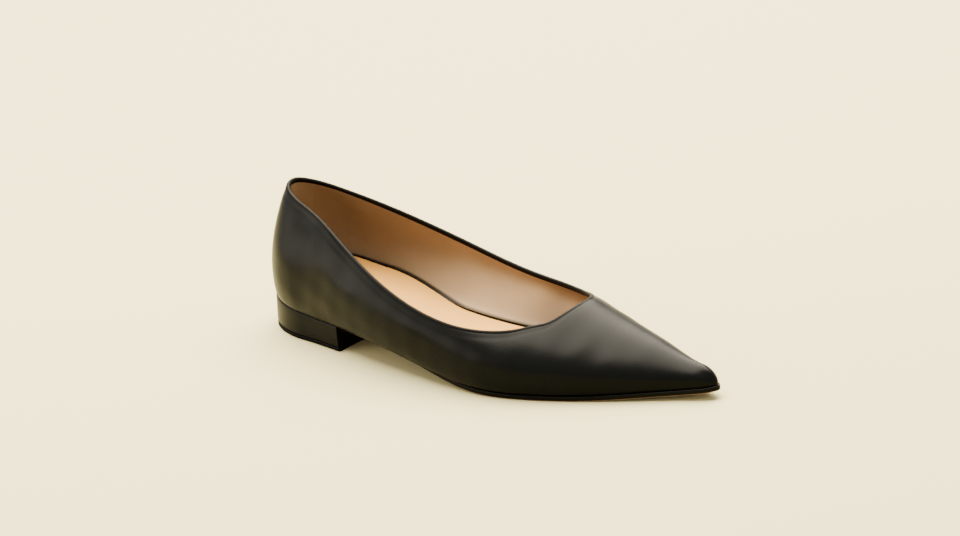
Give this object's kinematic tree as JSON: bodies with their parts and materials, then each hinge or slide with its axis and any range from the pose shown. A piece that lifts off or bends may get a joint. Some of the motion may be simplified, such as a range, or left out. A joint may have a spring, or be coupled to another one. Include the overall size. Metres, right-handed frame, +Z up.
{
  "type": "pointed_toe_flat_shoe",
  "caption": "Women's pointed-toe flat for the right foot in black leather with a low covered block heel, a folded topline and a tan lining over a pale padded sock",
  "frame": {"origin": "on the floor, under the middle of the shoe's bounding box", "axes": "+X from the heel to the toe, +Y to the inner side of the foot, +Z up"},
  "size_m": [0.2696, 0.0844, 0.0725],
  "materials": {
    "upper_leather": "smooth black leather with a soft satin gloss",
    "binding_leather": "thin folded black leather",
    "sock_leather": "pale matte peach-beige sock leather",
    "sole_leather": "edge-inked sole, black",
    "heel_cover": "block covered in thin black leather, satin"
  },
  "bodies": {
    "root": {"upper": "upper_leather", "topline_binding": "binding_leather", "insole": "sock_leather", "outsole": "sole_leather", "heel": "heel_cover"}
  },
  "joints": []
}
